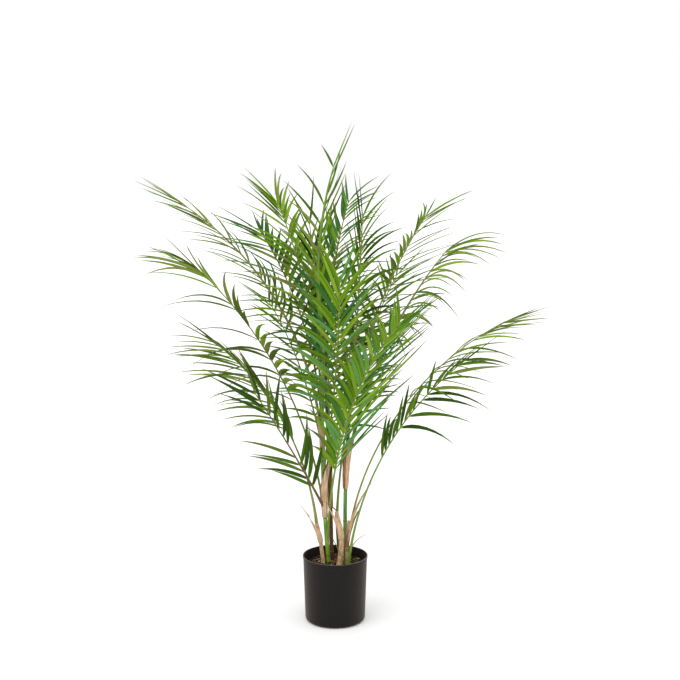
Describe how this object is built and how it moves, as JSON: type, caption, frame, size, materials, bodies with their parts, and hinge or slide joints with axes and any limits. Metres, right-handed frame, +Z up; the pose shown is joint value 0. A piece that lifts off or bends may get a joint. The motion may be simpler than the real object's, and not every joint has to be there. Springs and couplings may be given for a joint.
{
  "type": "artificial areca palm in a pot",
  "caption": "Artificial areca palm in a plain black pot: slender canes with dry leaf bases carry arching feather-shaped fronds of narrow leaflets.",
  "frame": {"origin": "centre of the pot's flat underside, on the floor", "axes": "+Z up along the pot's axis, +X to the right and +Y to the back in the picture's view"},
  "size_m": [0.9145, 0.7263, 1.0944],
  "materials": {
    "pot": "satin black, moulded",
    "fill": "brown bark and straw strewn over a poured weight",
    "canes": "glossy green with darker rings",
    "dry_bases": "dry papery fibre, peach to brown",
    "fronds": "satin green leaflets on olive ribs"
  },
  "bodies": {
    "root": {"pot": "pot", "fill": "fill", "left_cane": "canes", "right_cane": "canes", "rear_cane": "canes", "rear_stub": "dry_bases", "left_stub": "dry_bases", "middle_stub": "dry_bases", "right_stub": "dry_bases", "left_lower_sheath": "dry_bases", "left_upper_sheath": "dry_bases", "right_lower_sheath": "dry_bases", "rear_sheath": "dry_bases", "left_stub_sheath": "dry_bases", "middle_stub_sheath": "dry_bases", "right_stub_sheath": "dry_bases", "frond_top": "fronds", "frond_upper_right": "fronds", "frond_right_upright": "fronds", "frond_upper_left": "fronds", "frond_left_high": "fronds", "frond_left_shoulder": "fronds", "frond_left_long": "fronds", "frond_left_arching": "fronds", "frond_left_low": "fronds", "frond_left_front": "fronds", "frond_right_long": "fronds", "frond_right_low": "fronds", "frond_right_arching": "fronds", "frond_right_high": "fronds", "frond_front": "fronds", "frond_front_upper": "fronds", "frond_back": "fronds", "frond_back_right": "fronds", "frond_back_left": "fronds", "frond_back_high": "fronds"}
  },
  "joints": []
}
